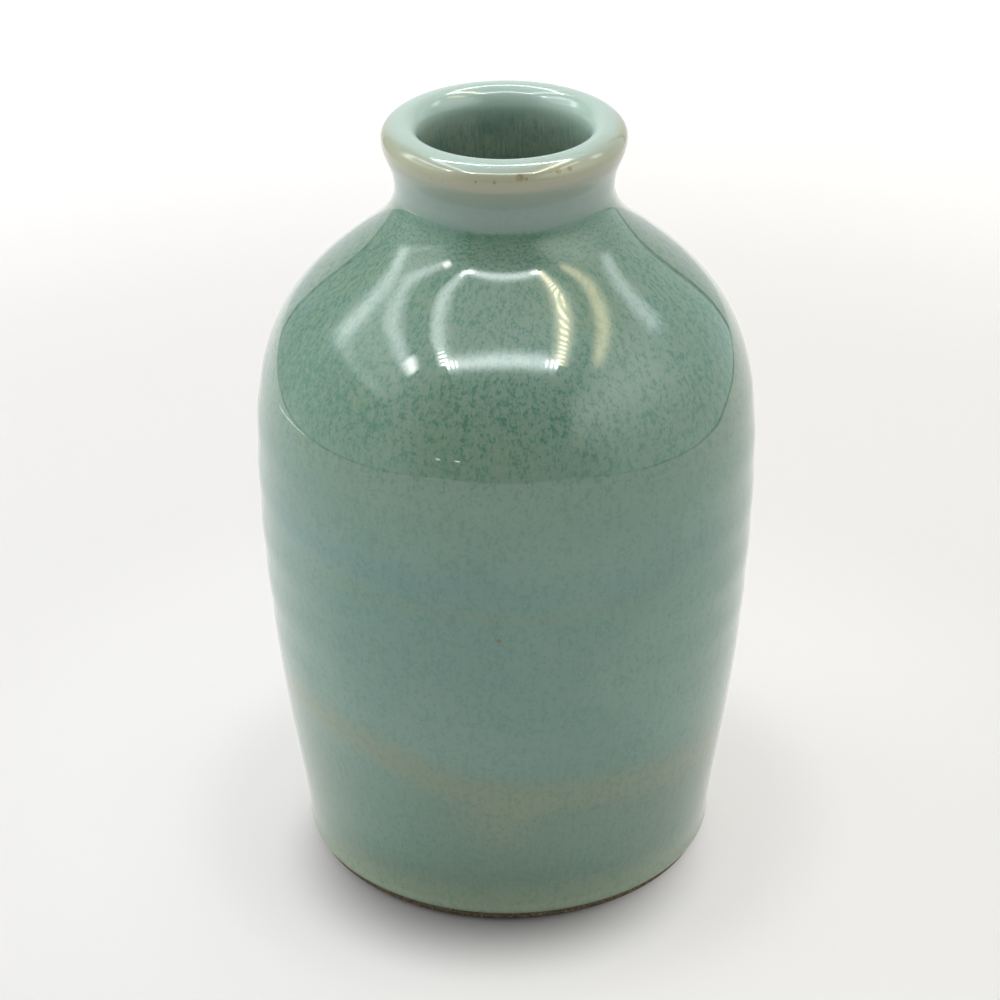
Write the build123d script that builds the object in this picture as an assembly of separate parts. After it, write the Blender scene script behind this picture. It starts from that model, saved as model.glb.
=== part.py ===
from build123d import *
import os

# Small sake bottle (tokkuri): a thrown stoneware vessel under a pale green celadon glaze.
# It stands on its foot ring, with the middle of the foot at the origin and +Z up.
# Every piece is turned about Z, so each one is drawn as half a section: (radius, height).
# All sizes are in millimetres.

# ---- outside of the finished, glazed vessel -------------------------------------------
HEIGHT = 130.0                  # underside of the foot ring to the crest of the lip
HEEL = (34.9, 3.6)              # glazed wall just above the foot
LOW_WALL = (37.75, 24.0)        # the wall opens slowly up to the belly
MID_WALL = (40.1, 45.0)
BELLY = (41.3, 71.0)            # the widest place
SHOULDER_BREAK = (39.75, 88.4)  # the wall starts to close over
SHOULDER_HIGH = (35.45, 98.2)
SHOULDER_LOW = (24.3, 109.3)
NECK_ROOT = (18.65, 115.3)
NECK = (17.6, 119.0)            # the narrowest place outside
UNDER_LIP = (18.3, 123.2)
LIP = (19.6, 127.4)             # the lip rolls out to here
CREST_R = 16.2                  # radius at which the lip is highest
HEEL_SLOPE = (0.1, 1.0)         # direction of the wall as it leaves the heel
UPRIGHT = (0.0, 1.0)
LEVEL = (1.0, 0.0)

# ---- inside ---------------------------------------------------------------------------
WALL = 4.2                      # clay and both coats of glaze, square to the wall
THROAT_R = NECK[0] - WALL       # straight throat that a stopper would fit
THROAT_TOP_Z = 126.3            # the lip curves away above this height
FLOOR_Z = 8.4                   # glazed floor
FLOOR_FLAT_R = 21.0             # the floor is flat to here, then sweeps up into the wall
SWEEP_END = 0.24                # share of the wall's length at which that sweep ends

# ---- glaze and foot -------------------------------------------------------------------
GLAZE = 0.5                     # thickness of each coat
GLAZE_LINE_Z = 1.6              # the glaze was wiped off the clay below this height
GLAZE_EDGE = 0.3                # the outside coat ends in a blunt edge this thick
FOOT_R = 34.0                   # bare clay foot ring, outside
FOOT_TOP_R = 34.2               # clay at the glaze line
FOOT_RING_WIDTH = 5.0
FOOT_SOFTEN = 0.4               # sponged corners of the foot ring
RECESS_Z = 2.5                  # glazed underside, inside the foot ring
RECESS_ROUND = 1.6              # the clay turns down into the foot ring with this radius

STATIONS = 16                   # places where a wall curve is measured to draw its offset


def offset_curve(edge, depth, start=0.0):
    """The curve that lies depth inside an edge that is drawn from the foot to the lip."""
    points = []
    for station in range(STATIONS + 1):
        share = start + (1 - start) * station / STATIONS
        along = edge % share
        inward = Vector(-along.Y, along.X)
        points.append(edge @ share + inward * depth)
    return Spline(*points, tangents=[edge % start, edge % 1])


def outside_wall():
    """Glazed outside from the heel to the widest place."""
    return Spline(HEEL, LOW_WALL, MID_WALL, BELLY, tangents=[HEEL_SLOPE, UPRIGHT])


def outside_shoulder():
    """Glazed outside from the widest place over the shoulder to the narrowest of the neck."""
    return Spline(
        BELLY, SHOULDER_BREAK, SHOULDER_HIGH, SHOULDER_LOW, NECK_ROOT, NECK,
        tangents=[UPRIGHT, UPRIGHT],
    )


def outside_neck():
    """Glazed outside of the neck as it opens into the lip."""
    return Spline(NECK, UNDER_LIP, LIP, tangents=[UPRIGHT, UPRIGHT])


def outer_half_of_lip(depth):
    """Quarter ellipse from the lip's widest place up to its crest."""
    return EllipticalCenterArc(
        (CREST_R, LIP[1]), LIP[0] - CREST_R - depth, HEIGHT - LIP[1] - depth,
        start_angle=0, arc_size=90,
    )


def inner_half_of_lip(depth):
    """Quarter ellipse from the crest of the lip down to the top of the throat."""
    return EllipticalCenterArc(
        (CREST_R, THROAT_TOP_Z), CREST_R - THROAT_R - depth, HEIGHT - THROAT_TOP_Z - depth,
        start_angle=90, arc_size=90,
    )


def outside_line(depth):
    """Outside from the heel to the crest, depth below the surface of the glaze."""
    curves = [outside_wall(), outside_shoulder(), outside_neck()]
    if depth > 0:
        curves = [offset_curve(curve, depth) for curve in curves]
    return curves + [outer_half_of_lip(depth)]


def inside_line(depth):
    """Inside from the axis to the crest, depth below the surface of the lining."""
    wall = offset_curve(outside_wall(), WALL, SWEEP_END)
    sweep = Spline((FLOOR_FLAT_R, FLOOR_Z), wall @ 0, tangents=[LEVEL, wall % 0])
    if depth > 0:
        sweep = offset_curve(sweep, -depth)
        wall = offset_curve(outside_wall(), WALL - depth, SWEEP_END)
    shoulder = offset_curve(outside_shoulder(), WALL - depth)
    lip = inner_half_of_lip(depth)
    floor = Line((0, FLOOR_Z - depth), sweep @ 0)
    throat = Line(shoulder @ 1, lip @ 1)
    return [floor, sweep, wall, shoulder, throat, lip]


def foot_line():
    """Bare clay from the middle of the underside, round the foot ring, to the glaze line."""
    ring_r = FOOT_R - FOOT_RING_WIDTH
    ceiling_z = RECESS_Z + GLAZE
    turn_z = ceiling_z - RECESS_ROUND
    return [
        Line((0, ceiling_z), (ring_r - RECESS_ROUND, ceiling_z)),
        CenterArc((ring_r - RECESS_ROUND, turn_z), RECESS_ROUND, 0, 90),
        Line((ring_r, turn_z), (ring_r, FOOT_SOFTEN)),
        CenterArc((ring_r + FOOT_SOFTEN, FOOT_SOFTEN), FOOT_SOFTEN, 180, 90),
        Line((ring_r + FOOT_SOFTEN, 0), (FOOT_R - FOOT_SOFTEN, 0)),
        CenterArc((FOOT_R - FOOT_SOFTEN, FOOT_SOFTEN), FOOT_SOFTEN, 270, 90),
        Line((FOOT_R, FOOT_SOFTEN), (FOOT_TOP_R, GLAZE_LINE_Z)),
    ]


def turned(edges):
    """A solid turned about Z from the closed half section that the edges bound."""
    section = Face(Wire(edges))
    return revolve(Plane.XZ * section, Axis.Z, 360)


def stoneware_body():
    """Thrown clay: floor, wall, shoulder, neck and lip, with a trimmed foot ring."""
    outside = outside_line(GLAZE)
    inside = inside_line(GLAZE)
    heel = Line((FOOT_TOP_R, GLAZE_LINE_Z), outside[0] @ 0)
    axis = Line((0, RECESS_Z + GLAZE), inside[0] @ 0)
    return turned(foot_line() + [heel] + outside + inside + [axis])


def outer_glaze():
    """Outside coat, from its blunt edge above the foot to the crest of the lip."""
    surface = outside_line(0)
    clay_side = outside_line(GLAZE)
    edge_out = (FOOT_TOP_R + GLAZE_EDGE, GLAZE_LINE_Z)
    blunt = Line((FOOT_TOP_R, GLAZE_LINE_Z), edge_out)
    roll = Spline(edge_out, HEEL, tangents=[LEVEL, HEEL_SLOPE])
    heel = Line((FOOT_TOP_R, GLAZE_LINE_Z), clay_side[0] @ 0)
    crest = Line(clay_side[-1] @ 1, surface[-1] @ 1)
    return turned([blunt, roll, heel, crest] + surface + clay_side)


def lining_glaze():
    """Inside coat, from the crest of the lip down the throat and over the floor."""
    surface = inside_line(0)
    clay_side = inside_line(GLAZE)
    crest = Line(clay_side[-1] @ 0, surface[-1] @ 0)
    axis = Line(clay_side[0] @ 0, surface[0] @ 0)
    return turned([crest, axis] + surface + clay_side)


def foot_recess_glaze():
    """Coat on the underside, inside the foot ring, wiped back to a level edge."""
    ring_r = FOOT_R - FOOT_RING_WIDTH
    turn_r = ring_r - RECESS_ROUND
    turn_z = RECESS_Z + GLAZE - RECESS_ROUND
    return turned([
        Line((0, RECESS_Z), (turn_r, RECESS_Z)),
        CenterArc((turn_r, turn_z), RECESS_ROUND - GLAZE, 0, 90),
        Line((ring_r - GLAZE, turn_z), (ring_r, turn_z)),
        CenterArc((turn_r, turn_z), RECESS_ROUND, 0, 90),
        Line((turn_r, RECESS_Z + GLAZE), (0, RECESS_Z + GLAZE)),
        Line((0, RECESS_Z + GLAZE), (0, RECESS_Z)),
    ])


def main():
    os.makedirs("parts", exist_ok=True)
    for piece in (stoneware_body, outer_glaze, lining_glaze, foot_recess_glaze):
        export_step(piece(), f"parts/{piece.__name__}.step")


main()
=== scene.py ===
import math

import bpy
import numpy as np
from mathutils import Matrix, Vector


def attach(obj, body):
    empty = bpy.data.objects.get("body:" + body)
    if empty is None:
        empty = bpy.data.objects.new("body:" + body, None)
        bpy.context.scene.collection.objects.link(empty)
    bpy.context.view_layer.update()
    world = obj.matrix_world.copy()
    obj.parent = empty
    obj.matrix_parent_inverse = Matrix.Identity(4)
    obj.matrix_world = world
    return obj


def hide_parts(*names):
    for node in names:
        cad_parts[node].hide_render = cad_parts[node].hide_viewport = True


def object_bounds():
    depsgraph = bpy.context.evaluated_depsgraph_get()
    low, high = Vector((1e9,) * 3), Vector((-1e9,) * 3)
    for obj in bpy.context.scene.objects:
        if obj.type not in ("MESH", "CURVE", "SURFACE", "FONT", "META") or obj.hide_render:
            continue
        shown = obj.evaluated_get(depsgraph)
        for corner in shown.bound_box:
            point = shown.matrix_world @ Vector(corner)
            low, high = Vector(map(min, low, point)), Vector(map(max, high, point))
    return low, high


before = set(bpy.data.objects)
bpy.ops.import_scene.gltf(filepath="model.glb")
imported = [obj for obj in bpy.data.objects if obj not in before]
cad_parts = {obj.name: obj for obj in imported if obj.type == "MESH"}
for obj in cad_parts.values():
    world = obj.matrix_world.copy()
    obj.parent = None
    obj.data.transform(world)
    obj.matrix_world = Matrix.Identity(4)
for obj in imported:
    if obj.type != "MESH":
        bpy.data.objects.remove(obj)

bl_info = {
    "name": "Celadon sake bottle",
    "version": (1, 0, 0),
    "blender": (4, 5, 0),
    "location": "View3D > Sidebar > Sake bottle",
    "description": "Throws, glazes and sets out a small celadon sake bottle",
    "category": "Object",
}

MM = 0.001
CAD_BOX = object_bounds()
TALL = CAD_BOX[1][2] - CAD_BOX[0][2]
WIDEST = (CAD_BOX[1][0] - CAD_BOX[0][0]) / 2
ON_AXIS = 1e-9
MERGE = 1e-7
SHARP_CORNER = math.radians(42)
UPRIGHT = (0.0, 1.0)
LEVEL = (1.0, 0.0)
RUN = "glaze_run"
LINES = "glaze_lines_and_ridge_reflection"

# The dip line round the wall: degrees from the front and millimetres up.
DIP_LINE = (
    (-160, 24.0), (-110, 31.0), (-64, 34.5), (-37, 34.5), (-16, 29.7), (-5, 27.3), (23, 26.6),
    (55, 24.6), (67, 23.6), (85, 19.0), (125, 14.0), (160, 18.0),
)
# The drip that runs down from it: degrees from the front and millimetres up.
DRIP = (-2.0, 21.5)
# Where glaze pooled below it: degrees from the front, width in degrees and depth.
WALL_POOLS = (
    (-33, 20.0, 1.0), (24, 15.0, 0.5), (-110, 24.0, 1.0), (95, 18.0, 0.6), (160, 28.0, 0.9),
)
# Where glaze pooled on the shoulder: degrees from the front, all at one height.
SHOULDER_POOLS = (-56, 78, 170)
SHOULDER_POOL_HEIGHT = 96.0
# Turns of the spiral up to the crease that glaze thins over.
CREASE_TURNS = 6.45

# The larger iron specks: degrees from the front, millimetres up and millimetres across.
IRON_SPECKS = (
    (7.0, 128.4, 0.6), (10.0, 128.1, 0.25), (25.5, 128.6, 0.45), (31.5, 128.6, 0.42),
    (-4.5, 127.7, 0.28), (-13.0, 127.6, 0.2), (62.0, 83.5, 0.35), (-1.9, 58.8, 0.35),
    (29.6, 74.7, 0.22), (17.4, 64.2, 0.2), (26.9, 63.5, 0.22), (-128.0, 92.0, 0.4),
    (148.0, 47.0, 0.3), (-160.0, 71.0, 0.25),
)

# Zones of the glaze, and of the painted shade and light on it: millimetres up where each begins and
# where it is full.
FOOT_HEM = (10.0, 2.0)
LOW_WALL = (36.0, 22.0)
DEEPER_POOLS = (68.0, 85.0)
OLIVE_SHOULDER = (70.0, 92.0)
DENSE_FLECKS = (79.0, 96.0)
# Painted shade: the neck's root is painted darker where it meets the shoulder.
NECK_ROOT_SHADE = (116.0, 117.6)
ABOVE_NECK_ROOT = (120.6, 118.0)
NECK = (117.6, 119.0)
# Painted light: the neck just under the lip is painted lighter, against the lip's shade.
UNDER_LIP_LIGHT = (121.5, 125.4)
LIP_ROLL = (125.6, 126.4)
LIP_EDGE = (127.0, 127.6)
# Partly painted light: the lip's top is painted paler where it faces up.
LIP_TOP = (128.7, 130.1)
RUSTY_FROM = (126.2, 127.0)
RUSTY_UP_TO = (129.2, 128.6)
# Partly painted light: the lining is painted paler towards the mouth.
LINING_TOP = (122.5, 129.4)


# ---- sizes and colours that a user would change ----------------------------------------

def length_of(name, millimetres, about):
    """A length setting, given here in millimetres."""
    return bpy.props.FloatProperty(
        name=name, description=about, default=millimetres * MM, subtype="DISTANCE", unit="LENGTH"
    )


def number_of(name, value, about):
    """A plain number setting."""
    return bpy.props.FloatProperty(name=name, description=about, default=value, precision=3)


def count_of(name, value, about):
    """A whole number setting."""
    return bpy.props.IntProperty(name=name, description=about, default=value, min=3)


def angle_of(name, degrees, about):
    """An angle setting, given here in degrees."""
    return bpy.props.FloatProperty(
        name=name, description=about, default=math.radians(degrees), subtype="ANGLE", unit="ROTATION"
    )


def colour_of(name, rgb, about):
    """A colour setting, given as the red, green and blue of a screen, 0 to 255."""
    return bpy.props.FloatVectorProperty(
        name=name, description=about, default=[linear(part / 255) for part in rgb],
        subtype="COLOR", size=3, min=0.0, max=1.0,
    )


def linear(part):
    """The amount of light for one part of a screen colour, 0 to 1."""
    if part <= 0.04045:
        return part / 12.92
    return ((part + 0.055) / 1.055) ** 2.4


class BottleShape(bpy.types.PropertyGroup):
    """The thrown shape. Heights are above the surface the bottle stands on."""

    height: bpy.props.FloatProperty(
        name="Height", description="From the foot to the crest of the lip", default=TALL,
        subtype="DISTANCE", unit="LENGTH")
    belly_radius: bpy.props.FloatProperty(
        name="Belly radius", description="The widest place", default=WIDEST,
        subtype="DISTANCE", unit="LENGTH")
    belly_height: length_of("Belly height", 71.0, "Height of the widest place")
    heel_radius: length_of("Heel radius", 34.9, "Glazed wall just above the foot")
    heel_height: length_of("Heel height", 3.6, "Height at which the wall leaves the heel")
    neck_radius: length_of("Neck radius", 17.6, "The narrowest place outside")
    neck_height: length_of("Neck height", 119.0, "Height of the narrowest place")
    lip_radius: length_of("Lip radius", 19.6, "The lip rolls out to this radius")
    lip_height: length_of("Lip height", 127.4, "Height of the lip's widest place")
    crest_radius: length_of("Crest radius", 16.2, "Radius at which the lip is highest")
    throat_top: length_of("Throat top", 126.3, "The lip curves away above this height")
    wall: length_of("Wall", 4.2, "Clay and both coats of glaze")
    floor_height: length_of("Floor", 8.4, "Glazed floor inside")
    floor_flat: length_of("Flat floor", 21.0, "The floor is flat out to this radius")
    coat: length_of("Coat", 0.5, "Thickness of each coat of glaze")
    around: count_of("Steps around", 256, "Faces around the bottle")


class FootShape(bpy.types.PropertyGroup):
    """The trimmed foot ring."""

    radius: length_of("Foot radius", 34.0, "Outside of the bare foot ring")
    top_radius: length_of("Radius at the glaze", 34.2, "Clay at the wiped edge of the glaze")
    ring_width: length_of("Ring width", 5.0, "Width of the foot ring")
    glaze_line: length_of("Glaze line", 1.6, "Height of the wiped edge of the glaze")
    glaze_edge: length_of("Glaze edge", 0.3, "Thickness of the wiped edge")
    soften: length_of("Sponged corners", 0.4, "Radius of the foot ring's corners")
    recess: length_of("Recess", 2.5, "Height of the glazed underside")
    recess_round: length_of("Recess corner", 1.6, "Radius where the underside meets the ring")


class ThrowingMarks(bpy.types.PropertyGroup):
    """What the potter's fingers left on the wall."""

    ridge: length_of("Ridge", 0.06, "How far the throwing spiral stands above its mean")
    pitch: length_of("Pitch", 9.8, "Rise of the spiral in one turn of the wheel")
    low: length_of("Lowest ridge", 42.0, "The spiral fades out below this height")
    high: length_of("Highest ridge", 88.0, "The spiral fades out above this height")
    fade: length_of("Fade", 9.0, "Length over which the spiral fades")
    start: angle_of("Start", -105.0, "Turns the whole spiral round the wall")
    uneven: length_of("Unevenness", 0.03, "How far the hand-smoothed wall strays from round")


class GlazeColours(bpy.types.PropertyGroup):
    """The celadon glaze."""

    body: colour_of("Body", (111, 141, 130), "The glaze of the wall")
    teal: colour_of("Teal", (101, 134, 125), "Bluer clouds and the glaze that pooled low on the wall")
    # Painted reflection: bluer along the throwing ridges, where the glaze mirrors the pale floor.
    ridge_reflection: colour_of("Mist", (100, 133, 131), "Bluer glaze along the throwing ridges")
    moss: colour_of("Moss", (106, 132, 112), "The glaze of the shoulder")
    low: colour_of("Low", (102, 124, 106), "The glaze below the dip line")
    # Also laid at the neck's root as painted shade.
    deep: colour_of("Deep", (70, 112, 91), "Flecks where the glaze is thick")
    ash: colour_of("Ash", (122, 139, 114), "Tan flecks where the glaze is thin")
    thin: colour_of("Thin", (120, 134, 113), "Glaze that thins over the dip line")
    hem: colour_of("Hem", (142, 156, 134), "Pale glaze along the foot")
    # Partly the glaze's own pale colour, partly painted light where the lip's top and the mouth catch
    # the light.
    pale_rim_and_top_light: colour_of("Rim", (165, 187, 176), "Smooth pale glaze on top of the lip")
    breaking: colour_of("Breaking", (154, 156, 130), "Glaze that breaks over the lip's edge")
    # Also laid, at a lesser share, under the lip as painted light that lifts the lip's shade.
    roll: colour_of("Roll", (158, 158, 137), "The lighter line under the lip's edge")
    neck: colour_of("Neck", (130, 149, 143), "Smooth grey glaze round the neck")
    throat: colour_of("Throat", (140, 158, 141), "The lining's glaze")
    iron: colour_of("Iron", (120, 92, 42), "Iron specks")
    gloss: number_of("Gloss roughness", 0.3, "Roughness of the glaze under its skin")
    skin: number_of("Skin roughness", 0.035, "Roughness of the fired skin")


class ClayColours(bpy.types.PropertyGroup):
    """The bare stoneware."""

    clay: colour_of("Clay", (108, 94, 74), "Fired clay")
    # Darker clay, mixed through the clay in grain-sized patches.
    dark_clay: colour_of("Toast", (74, 58, 40), "Clay toasted dark beside the glaze")
    grog: colour_of("Grog", (150, 134, 108), "Pale grains in the clay")


class StudioSetup(bpy.types.PropertyGroup):
    """Camera, floor and lights."""

    back: length_of("Camera distance", 474.54, "How far in front of the bottle the camera is")
    up: length_of("Camera height", 322.65, "How high the camera is")
    tilt: angle_of("Camera tilt", 28.815, "How far down the camera looks")
    turn: angle_of("Camera turn", -0.119, "How far to its right the camera looks")
    roll: angle_of("Camera roll", -0.398, "How far the camera is rolled")
    lens: number_of("Lens", 116.09, "Focal length in millimetres on a 36 mm wide sensor")
    tent_left: length_of("Tent left", 390.0, "From the bottle to the tent's left wall")
    tent_right: length_of("Tent right", 390.0, "From the bottle to the tent's right wall")
    tent_front: length_of("Tent front", 720.0, "From the bottle to the tent's front edge")
    tent_back: length_of("Tent back", 500.0, "From the bottle to the tent's back wall")
    tent_roof: length_of("Tent roof", 800.0, "Height of the tent")


# ---- lines of the half section, as (radius, height) -------------------------------------

def smooth_line(stations, leave, arrive, count):
    """Points on the evenly bending curve through the stations, with the directions at its ends."""
    points = np.array(stations, float)
    spans = np.linalg.norm(np.diff(points, axis=0), axis=1)
    knots = np.concatenate([[0.0], np.cumsum(spans)])
    last = len(points) - 1
    pull = np.zeros((last + 1, last + 1))
    push = np.zeros((last + 1, 2))
    pull[0, 0] = pull[last, last] = 1.0
    push[0] = np.array(leave) / np.linalg.norm(leave)
    push[last] = np.array(arrive) / np.linalg.norm(arrive)
    for here in range(1, last):
        before, after = spans[here - 1], spans[here]
        pull[here, here - 1] = 1 / before
        pull[here, here] = 2 / before + 2 / after
        pull[here, here + 1] = 1 / after
        step_in = (points[here] - points[here - 1]) / before ** 2
        step_out = (points[here + 1] - points[here]) / after ** 2
        push[here] = 3 * (step_in + step_out)
    slopes = np.linalg.solve(pull, push)
    line = []
    for travel in np.linspace(0.0, knots[-1], count):
        span = min(int(np.searchsorted(knots, travel, side="right")) - 1, last - 1)
        width = spans[span]
        t = (travel - knots[span]) / width
        line.append(
            (2 * t ** 3 - 3 * t ** 2 + 1) * points[span]
            + (t ** 3 - 2 * t ** 2 + t) * width * slopes[span]
            + (3 * t ** 2 - 2 * t ** 3) * points[span + 1]
            + (t ** 3 - t ** 2) * width * slopes[span + 1]
        )
    return np.array(line)


def arc(centre, across, tall, first, last, count):
    """Points on part of an upright ellipse, from the first angle to the last, in degrees."""
    angles = np.radians(np.linspace(first, last, count))
    return np.stack(
        [centre[0] + across * np.cos(angles), centre[1] + tall * np.sin(angles)], axis=1
    )


def straight(start, end, count=2):
    """Points on a straight line."""
    return np.linspace(start, end, count)


def joined(*lines):
    """One line made of several that follow each other, with no point twice."""
    points = [lines[0][0]]
    for line in lines:
        for point in line:
            if np.linalg.norm(point - points[-1]) > MERGE * 10:
                points.append(point)
    return np.array(points)


def moved_in(line, depth):
    """The line that lies depth inside a line drawn from the foot to the lip."""
    along = np.gradient(line, axis=0)
    along /= np.linalg.norm(along, axis=1)[:, None]
    return line + depth * np.stack([-along[:, 1], along[:, 0]], axis=1)


def outside_parts(shape, fine):
    """Glazed outside from the heel to the lip's widest place: wall, shoulder and neck."""
    heel = (shape.heel_radius, shape.heel_height)
    belly = (shape.belly_radius, shape.belly_height)
    neck = (shape.neck_radius, shape.neck_height)
    low_wall = (37.75 * MM, 24.0 * MM)
    mid_wall = (40.1 * MM, 45.0 * MM)
    shoulder_break = (39.75 * MM, 88.4 * MM)
    shoulder_high = (35.45 * MM, 98.2 * MM)
    shoulder_low = (24.3 * MM, 109.3 * MM)
    neck_root = (18.65 * MM, 115.3 * MM)
    under_lip = (18.3 * MM, 123.2 * MM)
    lip = (shape.lip_radius, shape.lip_height)
    wall = smooth_line([heel, low_wall, mid_wall, belly], (0.1, 1.0), UPRIGHT, int(100 * fine))
    shoulder = smooth_line(
        [belly, shoulder_break, shoulder_high, shoulder_low, neck_root, neck],
        UPRIGHT, UPRIGHT, int(110 * fine),
    )
    throat = smooth_line([neck, under_lip, lip], UPRIGHT, UPRIGHT, int(16 * fine))
    return wall, shoulder, throat


def outside_line(shape, depth, fine):
    """Outside from the heel to the crest of the lip, depth below the surface of the glaze."""
    parts = [moved_in(part, depth) for part in outside_parts(shape, fine)]
    lip = arc(
        (shape.crest_radius, shape.lip_height),
        shape.lip_radius - shape.crest_radius - depth,
        shape.height - shape.lip_height - depth, 0, 90, int(30 * fine),
    )
    return joined(*parts, lip)


def inside_line(shape, depth, fine):
    """Inside from the middle of the floor to the crest, depth below the lining's surface."""
    wall, shoulder, _neck = outside_parts(shape, fine)
    inner_wall = moved_in(wall, shape.wall)
    sweep_end = int(0.24 * len(wall))
    before_sweep = inner_wall[sweep_end + 1] - inner_wall[sweep_end]
    floor_edge = (shape.floor_flat, shape.floor_height)
    sweep = smooth_line(
        [floor_edge, inner_wall[sweep_end]], LEVEL, before_sweep, int(24 * fine)
    )
    inner_shoulder = moved_in(shoulder, shape.wall)
    throat_radius = shape.neck_radius - shape.wall
    throat_top = (throat_radius, shape.throat_top)
    lip = arc(
        (shape.crest_radius, shape.throat_top), shape.crest_radius - throat_radius - depth,
        shape.height - shape.throat_top - depth, 180, 90, int(26 * fine),
    )
    floor = straight((ON_AXIS, shape.floor_height), floor_edge, int(20 * fine))
    surface = joined(floor, sweep, inner_wall[sweep_end:], inner_shoulder)
    if depth > 0:
        surface = moved_in(surface, -depth)
        surface[0, 0] = ON_AXIS
    throat = straight(surface[-1], (throat_top[0] + depth, throat_top[1]), int(14 * fine))
    return joined(surface, throat, lip)


# ---- turning and marking ------------------------------------------------------------

def lay_tools_down():
    """Leaves edit mode and selects nothing."""
    if bpy.context.object and bpy.context.object.mode != "OBJECT":
        bpy.ops.object.mode_set(mode="OBJECT")
    bpy.ops.object.select_all(action="DESELECT")


def centre_on_wheel(name, start):
    """A new piece that is a single point of clay at the start of its outline."""
    lay_tools_down()
    bpy.ops.mesh.primitive_plane_add(size=MM, location=(start[0], 0.0, start[1]))
    piece = bpy.context.object
    piece.name = name
    piece.data.name = name
    bpy.ops.object.transform_apply(location=True, rotation=True, scale=True)
    bpy.ops.object.mode_set(mode="EDIT")
    bpy.ops.mesh.select_all(action="SELECT")
    bpy.ops.mesh.merge(type="CENTER")
    return piece


def turn_on_wheel(name, outline, steps):
    """Draws the half section edge by edge, spins it about the axis and closes seam and poles."""
    piece = centre_on_wheel(name, outline[0])
    for before, after in zip(outline[:-1], outline[1:]):
        step = (after[0] - before[0], 0.0, after[1] - before[1])
        bpy.ops.mesh.extrude_vertices_move(TRANSFORM_OT_translate={"value": step})
    bpy.ops.mesh.select_all(action="SELECT")
    bpy.ops.mesh.remove_doubles(threshold=MERGE)
    bpy.ops.mesh.select_all(action="SELECT")
    bpy.ops.mesh.spin(
        steps=steps, angle=2 * math.pi, center=(0.0, 0.0, 0.0), axis=(0.0, 0.0, 1.0)
    )
    bpy.ops.mesh.select_all(action="SELECT")
    bpy.ops.mesh.remove_doubles(threshold=MERGE * 20)
    bpy.ops.mesh.select_all(action="SELECT")
    bpy.ops.mesh.normals_make_consistent(inside=False)
    bpy.ops.object.mode_set(mode="OBJECT")
    return piece


def closed_piece(piece):
    """Stops if the piece has an open edge, because a coat or a wall must be closed."""
    open_edges = [0] * len(piece.data.edges)
    for face in piece.data.polygons:
        for key in face.loop_indices:
            open_edges[piece.data.loops[key].edge_index] += 1
    loose = sum(1 for count in open_edges if count != 2)
    if loose:
        raise RuntimeError(f"{piece.name} has {loose} edges that don't join two faces")


def places_of(piece):
    """The piece's points as radius, angle round the wheel and height, with the raw points."""
    points = np.empty(len(piece.data.vertices) * 3)
    piece.data.vertices.foreach_get("co", points)
    points = points.reshape(-1, 3)
    radius = np.hypot(points[:, 0], points[:, 1])
    return radius, np.arctan2(points[:, 1], points[:, 0]), points[:, 2], points


def fade_between(height, low, high, fade):
    """1 between two heights, easing to 0 over the fade beyond each."""
    rise = np.clip((height - low) / fade + 0.5, 0.0, 1.0)
    drop = np.clip((high - height) / fade + 0.5, 0.0, 1.0)
    both = rise * drop
    return both * both * (3 - 2 * both)


def ridge_at(marks, angle, height):
    """How far the throwing spiral stands out, from -1 in a groove to 1 on a ridge."""
    turns = height / marks.pitch + (angle - marks.start) / (2 * math.pi)
    strength = fade_between(height, marks.low, marks.high, marks.fade)
    return strength * np.cos(2 * math.pi * turns)


def press_fingers(piece, marks):
    """Lays the throwing spiral into the wall."""
    radius, angle, height, points = places_of(piece)
    wall_share = np.clip((radius - 30 * MM) / (3 * MM), 0.0, 1.0)
    ridge = ridge_at(marks, angle, height) - 1.0
    strength = fade_between(height, marks.low, marks.high, marks.fade)
    sway = np.sin(3 * angle + height / (17 * MM)) + np.sin(7 * angle - height / (6 * MM) + 1.3)
    sway += np.sin(5 * angle + height / (9 * MM) + 4.0)
    uneven = marks.uneven * (sway - 3.0) / 3
    swell = (marks.ridge * ridge * strength + uneven) * wall_share
    shift = 1 + swell / np.maximum(radius, MM)
    points[:, 0] *= shift
    points[:, 1] *= shift
    piece.data.vertices.foreach_set("co", points.ravel())
    piece.data.update()


def let_glaze_run(piece, line):
    """Keeps, for each point, where it lies round the wheel and down the wall the glaze ran over."""
    radius, angle, height, _points = places_of(piece)
    steps = np.linalg.norm(np.diff(line, axis=0), axis=1)
    down_wall = np.interp(height, line[:, 1], np.concatenate([[0.0], np.cumsum(steps)]))
    down_wall += np.minimum(height - line[0, 1], 0.0)
    heights = np.array([0.0, 95.0, 112.0, 118.0, 130.0]) * MM
    spread = np.interp(height, heights, np.array([36.0, 37.0, 33.0, 19.0, 19.0]) * MM)
    on_floor = np.clip(radius / spread, 0.0, 1.0)
    around = spread * np.where(height < line[0, 1] + MM, on_floor, 1.0)
    keep_on(piece, RUN, around * np.cos(angle), around * np.sin(angle), down_wall)


def keep_on(piece, name, first, second, third):
    """Keeps three numbers on each point of the piece."""
    numbers = np.stack([first, second, third], axis=1)
    piece.data.attributes.new(name, "FLOAT_VECTOR", "POINT").data.foreach_set(
        "vector", numbers.ravel()
    )


def bell(distance, width):
    """1 at no distance, falling smoothly over the width."""
    return np.exp(-(distance / width) ** 2)


def wandering(degrees, stations):
    """A smooth closed line round the wall through the stations, given as degrees and millimetres."""
    at, high = np.array(stations, float).T
    near = [np.interp(degrees + turn, at, high, period=360) for turn in range(-12, 13, 3)]
    return np.mean(near, axis=0) * MM


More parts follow.
